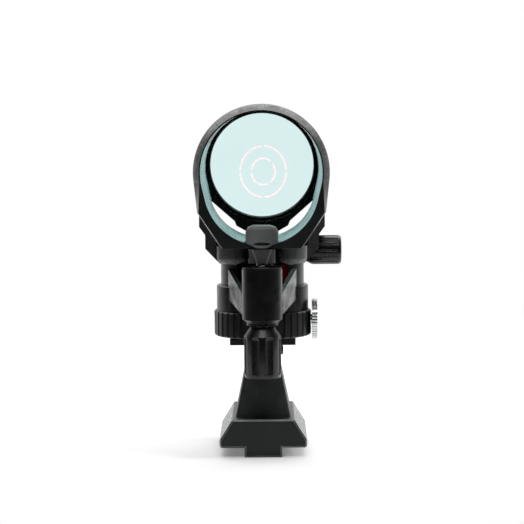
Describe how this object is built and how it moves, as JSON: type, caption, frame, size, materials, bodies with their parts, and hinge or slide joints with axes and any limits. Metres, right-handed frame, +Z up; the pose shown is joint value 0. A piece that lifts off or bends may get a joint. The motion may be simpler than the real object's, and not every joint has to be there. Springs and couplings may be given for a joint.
{
  "type": "telescope reflex finder sight",
  "caption": "Non-magnifying reflex finder for a telescope: hooded lens head on a turning turret with fine altitude screw, lamp dimmer knob and dovetail foot.",
  "frame": {"origin": "middle of the underside of the dovetail foot's rail", "axes": "+Z up, +Y the way the sight points, +X to the user's right when looking through it"},
  "size_m": [0.0538, 0.0794, 0.1283],
  "materials": {
    "anodised": "satin black anodised aluminium",
    "black_screw": "black oxide",
    "steel": "plain steel",
    "spring_steel": "bright spring wire",
    "nylon": "black nylon",
    "red_fibre": "red fibre",
    "turret_plastic": "fine satin moulding",
    "ring_plastic": "satin moulding",
    "chrome": "polished",
    "knob_plastic": "satin moulding",
    "brass": "plain brass",
    "head_plastic": "satin moulding",
    "hood_plastic": "satin moulding",
    "frame_plastic": "satin moulding",
    "cell_black": "flat black",
    "lens_glass": "coated, pale teal",
    "lamp_plastic": "satin moulding",
    "led_red": "clear red epoxy",
    "board_green": "solder mask",
    "board_black": "moulded case",
    "battery_steel": "plated",
    "contact_metal": "plated leaf",
    "cap_plastic": "satin moulding"
  },
  "bodies": {
    "bracket": {"dovetail_foot": "anodised", "foot_screws": "black_screw", "bracket_stem": "anodised", "azimuth_plate": "anodised", "stem_side_screw": "black_screw", "azimuth_stop_pin": "steel", "thrust_washer": "nylon", "spigot_washer": "steel", "spigot_bolt": "steel"},
    "turret": {"turret_housing": "turret_plastic", "azimuth_ring": "ring_plastic", "tilt_pin": "steel", "tilt_washer_left": "nylon", "tilt_washer_right": "red_fibre", "spring_seat": "steel", "altitude_spring": "spring_steel"},
    "lock_screw": {"azimuth_lock_screw": "chrome"},
    "altitude_drive": {"altitude_knob": "knob_plastic", "altitude_screw": "steel"},
    "nut": {"altitude_nut": "brass"},
    "head": {"head_body": "head_plastic", "head_base": "head_plastic", "base_screws": "black_screw", "eye_hood": "hood_plastic", "lens_frame": "frame_plastic", "lens_cell": "cell_black", "lens": "lens_glass", "lens_retainer": "cell_black", "lamp_hood": "lamp_plastic", "led": "led_red", "reticle_mask": "steel", "circuit_board": "board_green", "dimmer": "board_black", "battery": "battery_steel", "battery_top_contact": "contact_metal", "battery_side_contact": "contact_metal"},
    "brightness": {"brightness_knob": "knob_plastic", "dimmer_shaft": "steel"},
    "cap": {"battery_cap": "cap_plastic"}
  },
  "joints": [
    {"name": "azimuth", "type": "hinge", "parent": "bracket", "child": "turret", "pos_m": [0, 0, 0.048], "axis": [0, 0, 1], "range_deg": [-10, 10]},
    {"name": "lock_turn", "type": "hinge", "parent": "turret", "child": "lock_screw", "pos_m": [0.018, 0, 0.0482], "axis": [1, 0, 0], "range_deg": [0, 360]},
    {"name": "altitude", "type": "hinge", "parent": "turret", "child": "head", "pos_m": [0, 0, 0.0655], "axis": [1, 0, 0], "range_deg": [-3, 1.6], "deforming": ["altitude_spring"]},
    {"name": "altitude_knob_turn", "type": "hinge", "parent": "turret", "child": "altitude_drive", "pos_m": [0, -0.03, 0.04], "axis": [0, 0, 1], "range_deg": [-815, 436]},
    {"name": "nut_travel", "type": "slide", "parent": "turret", "child": "nut", "axis": [0, 0, 1], "range_m": [-0.00085, 0.0016]},
    {"name": "dimmer_turn", "type": "hinge", "parent": "head", "child": "brightness", "pos_m": [0.02, 0.001, 0.074], "axis": [1, 0, 0], "range_deg": [0, 270]},
    {"name": "cap_lift", "type": "slide", "parent": "head", "child": "cap", "axis": [0, 0, -1], "range_m": [0, 0.01]}
  ],
  "couplings": [
    {"joint": "altitude_knob_turn", "follows": "altitude", "ratio": 269.28},
    {"joint": "nut_travel", "follows": "altitude", "m_per_rad": -0.03}
  ]
}
